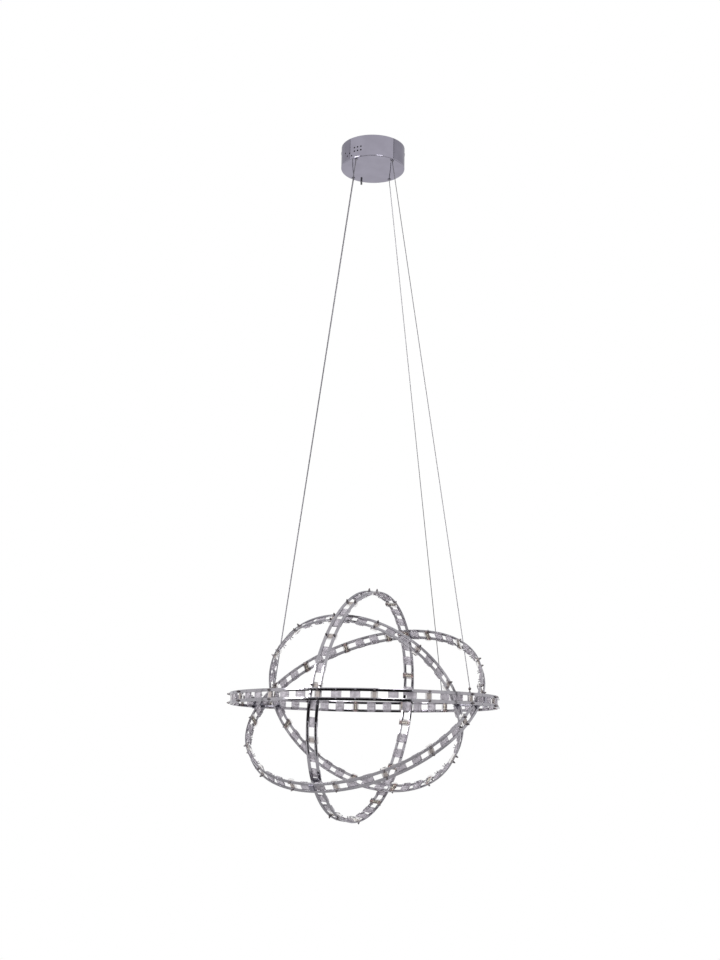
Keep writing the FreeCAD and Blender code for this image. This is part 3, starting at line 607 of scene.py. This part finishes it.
def cut_out(piece, drills):
    """Cut the drills out of a piece and delete them; returns the piece's new mesh."""
    cut = piece.modifiers.new("Openings", "BOOLEAN")
    cut.operation = "DIFFERENCE"
    cut.object = drills
    cut.solver = "EXACT"
    bpy.context.view_layer.update()
    finished = piece.evaluated_get(bpy.context.evaluated_depsgraph_get())
    opened = bpy.data.meshes.new_from_object(finished)
    piece.modifiers.clear()
    piece.data = opened
    bpy.data.objects.remove(drills)
    return opened


def smooth_wall(mesh, radius, wall):
    """Exact round normals on the wall's two faces, so that the holes don't disturb the mirror."""
    nearly_radial = 0.995
    innermost = radius - wall * 1.2
    normals = [mesh.corner_normals[index].vector.copy() for index in range(len(mesh.loops))]
    for polygon in mesh.polygons:
        side = polygon.normal.dot(Vector((*polygon.center.xy, 0)).normalized())
        if abs(side) < nearly_radial:
            continue
        for index in polygon.loop_indices:
            out = Vector((*mesh.vertices[mesh.loops[index].vertex_index].co.xy, 0))
            if out.length > innermost:
                normals[index] = out.normalized() * math.copysign(1, side)
    mesh.normals_split_custom_set(normals)


class PENDANT_OT_canopy(bpy.types.Operator):
    """Spin the canopy's cover, drill it, and turn its screws and aerial."""

    bl_idname = "pendant.canopy"
    bl_label = "Canopy"

    def execute(self, context):
        sizes = context.scene.pendant_canopy
        sharp = 30.0
        cover = finish_mesh(spun(cover_outline(sizes), sizes.steps), "canopy_cover_spun", smooth=sharp)
        drills = finish_mesh(canopy_drills(sizes, context.scene.pendant_wires), "canopy_drills")
        opened = cut_out(cover, drills)
        opened.shade_smooth()
        opened.set_sharp_from_angle(angle=math.radians(sharp))
        smooth_wall(opened, sizes.radius, sizes.wall)
        settle(cover, "canopy", "canopy_chrome", LOOKS["canopy_chrome"], "canopy_cover")
        self.screws(sizes)
        self.aerial(sizes)
        return {"FINISHED"}

    def screws(self, sizes):
        """Two low-headed screws in the cover's wall."""
        wide, dome, shank = sizes.screw_head, sizes.screw_dome, sizes.screw_shank
        crown_shares = ((0, 1), (0.4, 0.97), (0.75, 0.75), (0.93, 0.4), (1, 0))
        outline = [(wide * across, dome * up) for across, up in crown_shares]
        outline += [(shank, 0), (shank, -sizes.screw_depth), (0, -sizes.screw_depth)]
        screw = spun(outline, steps=32)
        both = bmesh.new()
        for turn in (0, math.pi):
            add_copy(both, screw, on_circle(turn, sizes.radius, -sizes.screw_drop) @ SIDEWAYS)
        piece = finish_mesh(both, "canopy_screws_turned")
        settle(piece, "canopy", "canopy_chrome", LOOKS["canopy_chrome"], "canopy_screws")

    def aerial(self, sizes):
        """The receiver's round-ended aerial below the floor."""
        low, radius = -sizes.height - sizes.aerial_drop, sizes.aerial_radius
        tip = rounded_corner((radius, low), (-1, 1), radius * 0.55, steps=5)
        inside = sizes.wall - sizes.height
        body = spun([(0, low), *reversed(tip), (radius, inside), (0, inside)], steps=32)
        bmesh.ops.translate(body, verts=body.verts, vec=(sizes.aerial_x, sizes.aerial_y, 0))
        piece = finish_mesh(body, "receiver_aerial_turned")
        settle(piece, "canopy", "receiver_plastic", LOOKS["receiver_plastic"], "receiver_aerial")


# Wires, studs and grippers


def stud_spot(side):
    """The top of the outer ring's upper rail, where a wire's stud stands."""
    rings = bpy.context.scene.pendant_rings
    turn = STUD_SHARES[side] * QUARTER_TURN
    level = (rings.rail_spacing + rings.rail_width) / 2
    return ring_matrix("outer") @ Vector((rings.outer * math.cos(turn), rings.outer * math.sin(turn), level))


class PENDANT_OT_wires(bpy.types.Operator):
    """Turn the grippers and studs, and stretch the suspension wires between them."""

    bl_idname = "pendant.wires"
    bl_label = "Wires"

    def execute(self, context):
        sizes = context.scene.pendant_wires
        canopy = context.scene.pendant_canopy
        for side, share in GRIPPER_SHARES.items():
            spot = Matrix.Rotation(share * QUARTER_TURN, 4, "Z") @ Vector((sizes.circle, 0, 0))
            self.gripper(sizes, canopy, side, spot)
            foot = stud_spot(side)
            top = self.stud(sizes, side, foot)
            aside = WIRE_ASIDE_SHARES.get(side, 0)
            above = Vector((spot.x + aside * sizes.radius, spot.y, -canopy.height - sizes.collar_height))
            # At the stud a wire stands aside half as far
            below = Vector((foot.x + aside * sizes.radius / 2, foot.y, foot.z + top))
            self.wire(sizes, side, above, below)
        return {"FINISHED"}

    def gripper(self, sizes, canopy, side, spot):
        """A chamfered collar below the floor and the stem through it."""
        floor, drop = -canopy.height, sizes.collar_height
        radius, stem, top = sizes.collar_radius, sizes.stem_radius, floor + sizes.stem_height
        cut = drop * 0.4
        outline = [
            (0, floor - drop),
            (radius - cut, floor - drop),
            (radius, floor - drop + cut),
            (radius, floor),
            (stem, floor),
            (stem, top - cut),
            (stem - cut, top),
            (0, top),
        ]
        body = spun(outline, steps=32)
        bmesh.ops.translate(body, verts=body.verts, vec=(spot.x, spot.y, 0))
        piece = finish_mesh(body, f"wire_gripper_{side}_turned")
        settle(piece, "canopy", "pivot_steel", LOOKS["pivot_steel"], f"wire_gripper_{side}")

    def stud(self, sizes, side, foot):
        """Foot, neck and ball in one; returns the height of the ball's flat top."""
        ball, neck = sizes.ball_radius, sizes.neck_radius
        centre = sizes.foot_height + sizes.neck_height + ball
        outline = [(0, 0), (sizes.foot_radius, 0), (sizes.foot_radius, sizes.foot_height * 0.7)]
        outline += [(sizes.foot_radius * 0.8, sizes.foot_height), (neck, sizes.foot_height)]
        low, steps = -math.acos(neck / ball), 12
        for number in range(steps + 1):
            turn = low + (sizes.ball_top - low) * number / steps
            outline.append((ball * math.cos(turn), centre + ball * math.sin(turn)))
        top = outline[-1][1]
        outline.append((0, top))
        body = spun(outline, steps=24)
        bmesh.ops.translate(body, verts=body.verts, vec=foot)
        piece = finish_mesh(body, f"wire_stud_{side}_turned")
        settle(piece, "outer_ring", "pivot_steel", LOOKS["contact_peg"], f"wire_stud_{side}")
        return top

    def wire(self, sizes, side, top, bottom):
        """A straight wire with level ends."""
        body = bmesh.new()
        for spot in (top, bottom):
            place = Matrix.Translation(spot)
            bmesh.ops.create_circle(body, segments=12, radius=sizes.radius, matrix=place, cap_ends=True)
        edges = [edge for edge in body.edges if len(edge.link_faces) == 1]
        bmesh.ops.bridge_loops(body, edges=edges)
        piece = finish_mesh(body, f"suspension_wire_{side}_drawn", smooth=60.0)
        settle(piece, "canopy", "wire_steel", LOOKS["wire_steel"], f"suspension_wire_{side}")
        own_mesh(piece)


# Rails


class PENDANT_OT_rails(bpy.types.Operator):
    """Spin the eight rails with rounded edges."""

    bl_idname = "pendant.rails"
    bl_label = "Rails"

    def execute(self, context):
        sizes = context.scene.pendant_rings
        for name in RING_NAMES:
            for label, level in (("upper", sizes.rail_spacing / 2), ("lower", -sizes.rail_spacing / 2)):
                self.rail(sizes, name, label, level)
        return {"FINISHED"}

    def rail(self, sizes, name, label, level):
        """One flat band with rounded edges."""
        radius, half, width = ring_radius(name), sizes.rail_thick / 2, sizes.rail_width / 2
        outline = []
        for sign_x, sign_z in ((1, -1), (1, 1), (-1, 1), (-1, -1)):
            corner = (radius + sign_x * half, level + sign_z * width)
            arc = rounded_corner(corner, (-sign_x, -sign_z), sizes.rail_edge)
            outline += arc if sign_x * sign_z > 0 else list(reversed(arc))
        outline.append(outline[0])
        body = spun(outline, sizes.rail_steps)
        bmesh.ops.transform(body, matrix=ring_matrix(name), verts=body.verts)
        piece = finish_mesh(body, f"{name}_{label}_rail_spun", smooth=50.0)
        settle(piece, f"{name}_ring", "polished_rail", LOOKS["polished_rail"], f"{name}_{label}_rail")


# Crystals and lamps


def crystal_blank(sizes):
    """A step-cut crystal with its back at X zero, its crown inwards."""
    bm = block((sizes.girdle, sizes.crystal_width, sizes.height), (-sizes.girdle / 2, 0, 0))
    corners = edges_along(bm, 0, sizes.girdle / 2)
    bmesh.ops.bevel(bm, geom=corners, offset=sizes.corner, **FLAT_BEVEL)
    front = end_face(bm, -1)
    for width_share, rise_share in ((0.55, 0.7), (0.45, 0.3)):
        width, rise = sizes.bevel * width_share, sizes.crown * rise_share
        bmesh.ops.inset_region(bm, faces=[front], thickness=width, depth=rise)
    bmesh.ops.inset_region(bm, faces=[end_face(bm, 1)], thickness=sizes.bevel * 0.8, depth=0)
    return bm


def hook_blank(sizes):
    """Two wire hooks that leave a crystal's inner face and curve away from each other."""
    bm = bmesh.new()
    depth = (sizes.girdle + sizes.crown) * 0.9
    for side in (-1, 1):
        root = side * sizes.hook_aside
        flat = Matrix.Translation((-depth, root, 0)) @ SIDEWAYS
        made = bmesh.ops.create_circle(bm, cap_ends=True, segments=6, radius=sizes.hook_radius, matrix=flat)
        faces = {face for vert in made["verts"] for face in vert.link_faces}
        edges = {edge for vert in made["verts"] for edge in vert.link_edges}
        bmesh.ops.spin(
            bm,
            geom=[*made["verts"], *edges, *faces],
            cent=(-depth, root + side * sizes.hook_bend, 0),
            axis=(0, 0, side),
            angle=-sizes.hook_turn,
            steps=4,
        )
    return bm


def rivet_blank(sizes):
    """A low rivet head on the outside of a rail, outwards along X."""
    rise, radius = sizes.rivet_rise, sizes.rivet_radius
    outline = [(0, 0), (radius, 0), (radius * 0.85, rise * 0.7), (radius * 0.4, rise), (0, rise)]
    bm = spun(outline, steps=10)
    bmesh.ops.transform(bm, matrix=SIDEWAYS, verts=bm.verts)
    return bm


def on_both_rails(blank):
    """A blank repeated at the level of the upper and the lower rail."""
    spacing = bpy.context.scene.pendant_rings.rail_spacing
    both = bmesh.new()
    for level in (spacing / 2, -spacing / 2):
        add_copy(both, blank, Matrix.Translation((0, 0, level)))
    return both


def lens_blank(sizes):
    """A lamp's clear lens with its back, which takes the second material, at X zero."""
    middle = -sizes.lamp_depth / 2
    bm = block((sizes.lamp_depth, sizes.lamp_width, sizes.height), (middle, 0, 0))
    upright = edges_along(bm, 2, sizes.height / 2)
    inner = [edge for edge in upright if all(vert.co.x < middle for vert in edge.verts)]
    bmesh.ops.bevel(bm, geom=inner, offset=sizes.lamp_corner, **ROUND_BEVEL)
    end_face(bm, 1).material_index = 1
    return bm


def board_blank(sizes):
    """The board behind a lens."""
    return block((sizes.board_thick, sizes.board_width, sizes.height), (-sizes.board_thick / 2, 0, 0))


def row_on_board(sizes, side, levels):
    """Small square pieces at these levels, sunk a little into a board's inner face."""
    rise = sizes.chip_rise
    bm = bmesh.new()
    for level in levels:
        piece = block((rise * 2, side, side), (-sizes.board_thick, 0, level))
        add_copy(bm, piece, Matrix.Identity(4))
        piece.free()
    return bm


def peg_blank(sizes):
    """A contact peg outwards along X from its rail: a low collar, then a blunt cone."""
    reach, foot, tip = sizes.peg_reach, sizes.peg_foot, sizes.peg_tip
    outline = [(0, 0), (foot, 0), (foot, reach * 0.18), (foot * 0.9, reach * 0.26)]
    outline += [(tip * 1.15, reach * 0.92), (tip * 0.7, reach), (0, reach)]
    bm = spun(outline, steps=12)
    bmesh.ops.transform(bm, matrix=SIDEWAYS, verts=bm.verts)
    return bm


class PENDANT_OT_crystals(bpy.types.Operator):
    """Cut the crystals and set them round the rings."""

    bl_idname = "pendant.crystals"
    bl_label = "Crystals"

    def execute(self, context):
        sizes = context.scene.pendant_elements
        cut, hooks = crystal_blank(sizes), hook_blank(sizes)
        rivets = on_both_rails(rivet_blank(sizes))
        for name in RING_NAMES:
            crystals = element_turns(name)[1]
            seat = seat_radius(name, sizes.crystal_width)
            piece = round_ring(name, cut, seat, crystals, f"{name}_crystals_cut")
            settle(piece, f"{name}_ring", "crystal_glass", LOOKS["crystal_glass"], f"{name}_crystals")
            piece = round_ring(name, hooks, seat, crystals, f"{name}_crystal_hooks")
            settle(piece, f"{name}_ring", "pivot_steel", LOOKS["hook_wire"])
            piece = round_ring(name, rivets, outside_radius(name), crystals, f"{name}_crystal_rivets")
            settle(piece, f"{name}_ring", "pivot_steel", LOOKS["pivot_steel"])
        return {"FINISHED"}


class PENDANT_OT_lamps(bpy.types.Operator):
    """Mould the lamps, their boards and contact pegs, and set them round the rings."""

    bl_idname = "pendant.lamps"
    bl_label = "Lamps"

    def execute(self, context):
        sizes = context.scene.pendant_elements
        lens, board, pegs = lens_blank(sizes), board_blank(sizes), on_both_rails(peg_blank(sizes))
        pad_level = (sizes.height - sizes.pad) / 2 * 0.94
        chip_level = pad_level * 0.45
        pads = row_on_board(sizes, sizes.pad, (-pad_level, pad_level))
        chips = row_on_board(sizes, sizes.chip, (-chip_level, 0, chip_level))
        for name in RING_NAMES:
            lamps = element_turns(name)[0]
            body = f"{name}_ring"
            board_seat = seat_radius(name, sizes.board_width)
            lens_seat = board_seat - sizes.board_thick - sizes.seat
            piece = round_ring(name, lens, lens_seat, lamps, f"{name}_lamps_moulded")
            settle(piece, body, "lamp_clear", LOOKS["lamp_clear"], f"{name}_lamps")
            piece.data.materials.append(LOOKS["lamp_back"])
            # Light passes the clear lenses
            piece.visible_shadow = False
            piece = round_ring(name, board, board_seat, lamps, f"{name}_led_boards_fitted")
            settle(piece, body, "led_board", LOOKS["led_board"], f"{name}_led_boards")
            piece = round_ring(name, pads, board_seat, lamps, f"{name}_solder_pads")
            settle(piece, body, "contact_peg", LOOKS["solder_pad"])
            piece = round_ring(name, chips, board_seat, lamps, f"{name}_light_chips")
            settle(piece, body, "led_board", LOOKS["light_chip"])
            piece = round_ring(name, pegs, outside_radius(name), lamps, f"{name}_lamp_pegs_turned")
            settle(piece, body, "contact_peg", LOOKS["contact_peg"], f"{name}_lamp_pegs")
        return {"FINISHED"}


# Stage


class PENDANT_OT_stage(bpy.types.Operator):
    """Set up the floor, the lights, the white surroundings and the camera."""

    bl_idname = "pendant.stage"
    bl_label = "Stage"

    def execute(self, context):
        sizes = context.scene.pendant_stage
        self.floor(sizes)
        self.world(context, sizes)
        self.lights()
        self.cards(sizes)
        self.ceiling(context)
        self.camera(context, sizes)
        context.scene.view_settings.view_transform = "Standard"
        context.scene.view_settings.look = "None"
        return {"FINISHED"}

    def floor(self, sizes):
        """A plain pale floor."""
        bm = bmesh.new()
        bmesh.ops.create_grid(
            bm,
            x_segments=1,
            y_segments=1,
            size=sizes.floor_size / 2,
            matrix=Matrix.Translation((0, 0, sizes.floor_level)),
        )
        floor = finish_mesh(bm, "floor")
        floor.data.materials.append(floor_look(sizes))

    def world(self, context, sizes):
        """White where the camera, a mirror or clear glass looks past the object, dimmer as light."""
        world = bpy.data.worlds.new("surroundings")
        context.scene.world = world
        world.use_nodes = True
        tree = world.node_tree
        background = tree.nodes["Background"]
        background.inputs["Color"].default_value = (1, 1, 1, 1)
        rays = tree.nodes.new("ShaderNodeLightPath").outputs
        seen = rays["Is Camera Ray"]
        for kind in ("Is Glossy Ray", "Is Transmission Ray"):
            either = tree.nodes.new("ShaderNodeMath")
            either.operation = "MAXIMUM"
            tree.links.new(seen, either.inputs[0])
            tree.links.new(rays[kind], either.inputs[1])
            seen = either.outputs[0]
        mix = tree.nodes.new("ShaderNodeMapRange")
        mix.inputs["To Min"].default_value = sizes.ambient
        mix.inputs["To Max"].default_value = sizes.background
        tree.links.new(seen, mix.inputs["Value"])
        tree.links.new(mix.outputs["Result"], background.inputs["Strength"])

    def area(self, name, place, aim, size, power):
        """One soft area light."""
        lamp = bpy.data.lights.new(name, "AREA")
        lamp.shape = "RECTANGLE"
        lamp.size, lamp.size_y = size
        lamp.energy = power
        light = bpy.data.objects.new(name, lamp)
        light.location = place
        light.rotation_euler = (Vector(aim) - Vector(place)).to_track_quat("-Z", "Y").to_euler()
        bpy.context.scene.collection.objects.link(light)

    def lights(self):
        """Soft key from the upper left, fill from the right of the camera."""
        key, fill = (-3.48, -2.32, 0.21), (1.15, -2.77, 0.1)
        self.area("key_light", place=key, aim=(0, 0, -1.0), size=(1.45, 2.18), power=126)
        self.area("fill_light", place=fill, aim=(0, 0, -0.8), size=(1.1, 1.0), power=30)

    def cards(self, sizes):
        """Screens round the object, seen only in the polished metal.

        Each runs from a first to a last turn in degrees, counted from the camera's side. All stand at the
        screens' radius but the cloth on the floor, whose inner edge lies nearer to the axis.
        """
        dark = self.card_look("dark_cloth", (0.012, 0.012, 0.014))
        dull = self.card_look("dull_cloth", (0.72, 0.72, 0.73))
        low, far, lift = sizes.floor_level, sizes.screen_radius, 0.01
        for name, look, first, last, inner, bottom, top in (
            ("screen_left", dark, -64, -45, far, low, -1.02),
            ("cloth_on_floor", dark, -62, -46, far / 3, low + lift, low + lift),
            ("flag_low", dark, -50.5, -44, far, -0.88, -0.3),
            ("flag_middle", dark, -50.5, -47.7, far, -0.3, 0.4),
            ("flag_high", dark, -47.7, -44, far, 0.15, 1.4),
            ("screen_behind_camera", dark, -45, 39, far, low, -0.45),
            ("stand_right", dark, 79, 81, far, low, far),
            ("stand_left", dark, -92, -91, far, low, far),
            ("screen_behind_object", dull, 81, 268, far, far / 5, far),
        ):
            bm = bmesh.new()
            line = [bm.verts.new((0, -inner, bottom)), bm.verts.new((0, -far, top))]
            edge = bm.edges.new(line)
            start = Matrix.Rotation(math.radians(first), 4, "Z")
            bmesh.ops.transform(bm, matrix=start, verts=line)
            turn = math.radians(last - first)
            bmesh.ops.spin(bm, geom=[*line, edge], cent=(0, 0, 0), axis=(0, 0, 1), angle=turn, steps=24)
            screen = finish_mesh(bm, name)
            screen.data.materials.append(look)
            self.only_mirrored(screen)

    def card_look(self, name, tone):
        """Cloth of one even tone."""
        look, tree, shader, place = node_material(name)
        shader.inputs["Base Color"].default_value = (0, 0, 0, 1)
        shader.inputs["Roughness"].default_value = 1.0
        shader.inputs["Specular IOR Level"].default_value = 0.0
        faint = tuple(value * 0.9 for value in tone)
        weave = noise(tree, place, scale=4.0)
        tree.links.new(two_tones(tree, weave, faint, tone), shader.inputs["Emission Color"])
        shader.inputs["Emission Strength"].default_value = 1.0
        return look

    def only_mirrored(self, piece):
        """Stage a piece so that only polished metal sees it."""
        piece.visible_camera = False
        piece.visible_diffuse = False
        piece.visible_transmission = False
        piece.visible_shadow = False

    def ceiling(self, context):
        """A near-black disc at the ceiling inside the canopy, painted shade that keeps the canopy's shaded
        inside dark behind its vents; clear when seen from above.
        """
        sizes = context.scene.pendant_canopy
        bm = bmesh.new()
        bmesh.ops.create_circle(bm, cap_ends=True, segments=48, radius=sizes.radius - sizes.wall)
        patch = finish_mesh(bm, "painted_shade_patch")
        if patch.data.polygons[0].normal.z > 0:
            patch.data.flip_normals()
        look, tree, shader, place = node_material("painted_shade_patch")
        # Painted shade: near black, for the shade inside the closed canopy
        cloud = noise(tree, place, scale=20.0)
        tone = two_tones(tree, cloud, (0.010, 0.010, 0.011), (0.014, 0.014, 0.015))
        tree.links.new(tone, shader.inputs["Base Color"])
        shader.inputs["Roughness"].default_value = 1.0
        clear = tree.nodes.new("ShaderNodeBsdfTransparent")
        mix = tree.nodes.new("ShaderNodeMixShader")
        faces = tree.nodes.new("ShaderNodeNewGeometry")
        tree.links.new(faces.outputs["Backfacing"], mix.inputs["Fac"])
        tree.links.new(shader.outputs["BSDF"], mix.inputs[1])
        tree.links.new(clear.outputs["BSDF"], mix.inputs[2])
        tree.links.new(mix.outputs["Shader"], tree.nodes["Material Output"].inputs["Surface"])
        patch.data.materials.append(look)
        patch.visible_shadow = False

    def camera(self, context, sizes):
        """The photograph's camera."""
        camera = bpy.data.cameras.new("photo_camera")
        camera.sensor_width = sizes.film
        camera.lens = sizes.lens
        camera.clip_start = 0.01
        camera.dof.use_dof = False
        view = bpy.data.objects.new("photo_camera", camera)
        context.scene.collection.objects.link(view)
        turn = (
            Matrix.Rotation(sizes.yaw, 4, "Z")
            @ Matrix.Rotation(QUARTER_TURN + sizes.pitch, 4, "X")
            @ Matrix.Rotation(sizes.roll, 4, "Z")
        )
        view.matrix_world = Matrix.Translation((0, -sizes.distance, sizes.level)) @ turn
        context.scene.camera = view


class PENDANT_PT_panel(bpy.types.Panel):
    """The steps that build the light."""

    bl_idname = "PENDANT_PT_panel"
    bl_label = "Pendant light"
    bl_space_type = "VIEW_3D"
    bl_region_type = "UI"
    bl_category = "Pendant"

    def draw(self, context):
        for step in STEPS:
            self.layout.operator(step.bl_idname)


STEPS = (
    PENDANT_OT_looks,
    PENDANT_OT_canopy,
    PENDANT_OT_wires,
    PENDANT_OT_rails,
    PENDANT_OT_crystals,
    PENDANT_OT_lamps,
    PENDANT_OT_stage,
)
CLASSES = (*GROUPS.values(), *STEPS, PENDANT_PT_panel)


def register():
    """Register the classes and hang the settings on the scene."""
    for item in CLASSES:
        bpy.utils.register_class(item)
    for name, group in GROUPS.items():
        setattr(bpy.types.Scene, name, PointerProperty(type=group))


def unregister():
    """Take the settings and classes out again."""
    for name in GROUPS:
        delattr(bpy.types.Scene, name)
    for item in reversed(CLASSES):
        bpy.utils.unregister_class(item)


def main():
    """Build the light step by step."""
    register()
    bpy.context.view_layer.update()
    for step in STEPS:
        group, name = step.bl_idname.split(".")
        result = getattr(getattr(bpy.ops, group), name)()
        if result != {"FINISHED"}:
            raise RuntimeError(f"{step.bl_label} didn't finish: {result}")


if __name__ == "__main__":
    main()
